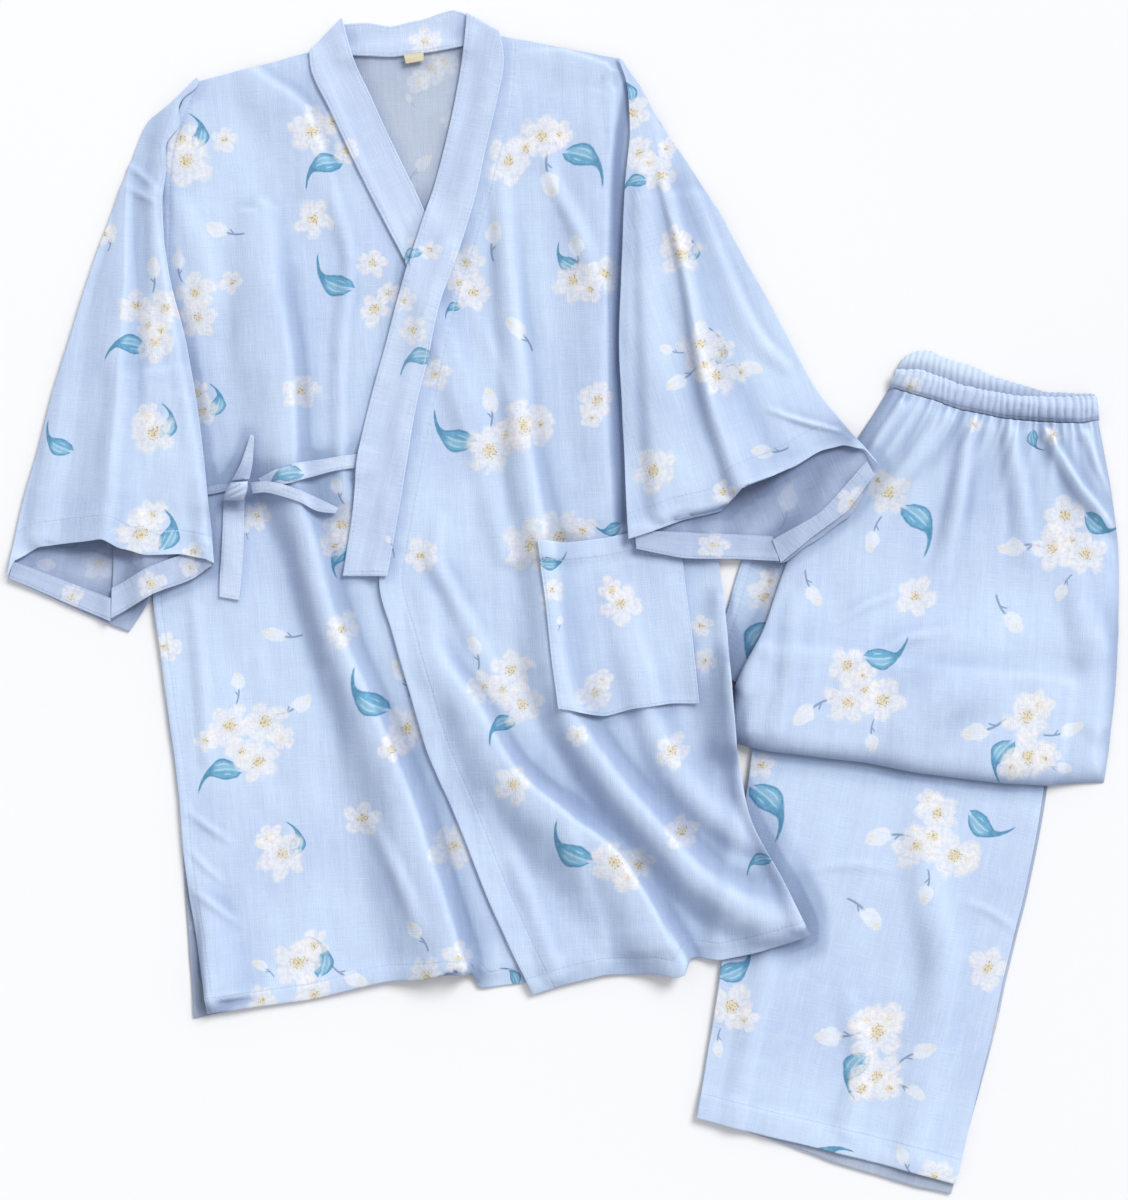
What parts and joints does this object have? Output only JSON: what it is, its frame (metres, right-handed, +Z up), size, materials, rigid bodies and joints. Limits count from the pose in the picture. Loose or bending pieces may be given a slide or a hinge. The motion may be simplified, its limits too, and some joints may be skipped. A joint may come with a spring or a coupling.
{
  "type": "kimono pajama set",
  "caption": "Kimono pajama set laid flat: wrap top with open sleeves, band collar and knotted ties, and elastic-waist pants folded beside it.",
  "frame": {"origin": "middle of the set's footprint, on the surface that it lies on", "axes": "+Z up out of the surface, +Y toward the neck and the waistband, +X toward the pants"},
  "size_m": [0.8598, 0.9151, 0.0314],
  "materials": {
    "cloth": "crinkled cotton gauze, pale blue with a white blossom print, matte",
    "cloth_inside": "wrong side of the gauze, greyer, with the print showing faintly",
    "band": "the same gauze doubled and topstitched, matte",
    "tie": "folded and stitched gauze strip, matte",
    "label": "blank woven tape"
  },
  "bodies": {
    "root": {"leg_back": "cloth_inside", "leg_front": "cloth", "pants_core": "cloth_inside", "pants_seat": "cloth", "waistband_back": "band", "pants_upper": "cloth", "waistband_front": "band", "top_back": "cloth_inside", "collar_back": "band", "size_label": "label", "front_under": "cloth", "collar_under": "band", "tie_under": "tie", "tie_over": "tie", "tie_tail_down": "tie", "tie_tail_right": "tie", "tie_tail_up": "tie", "tie_knot": "tie", "front_over": "cloth", "pocket": "cloth", "collar_over": "band", "sleeve_left_back": "cloth_inside", "sleeve_left_underarm": "cloth_inside", "cuff_hem_left_back": "cloth", "cuff_hem_left_underarm": "cloth", "sleeve_left_front": "cloth", "sleeve_right_back": "cloth_inside", "cuff_hem_right_back": "cloth", "cuff_hem_right_side": "cloth", "sleeve_right_front": "cloth"}
  },
  "joints": []
}
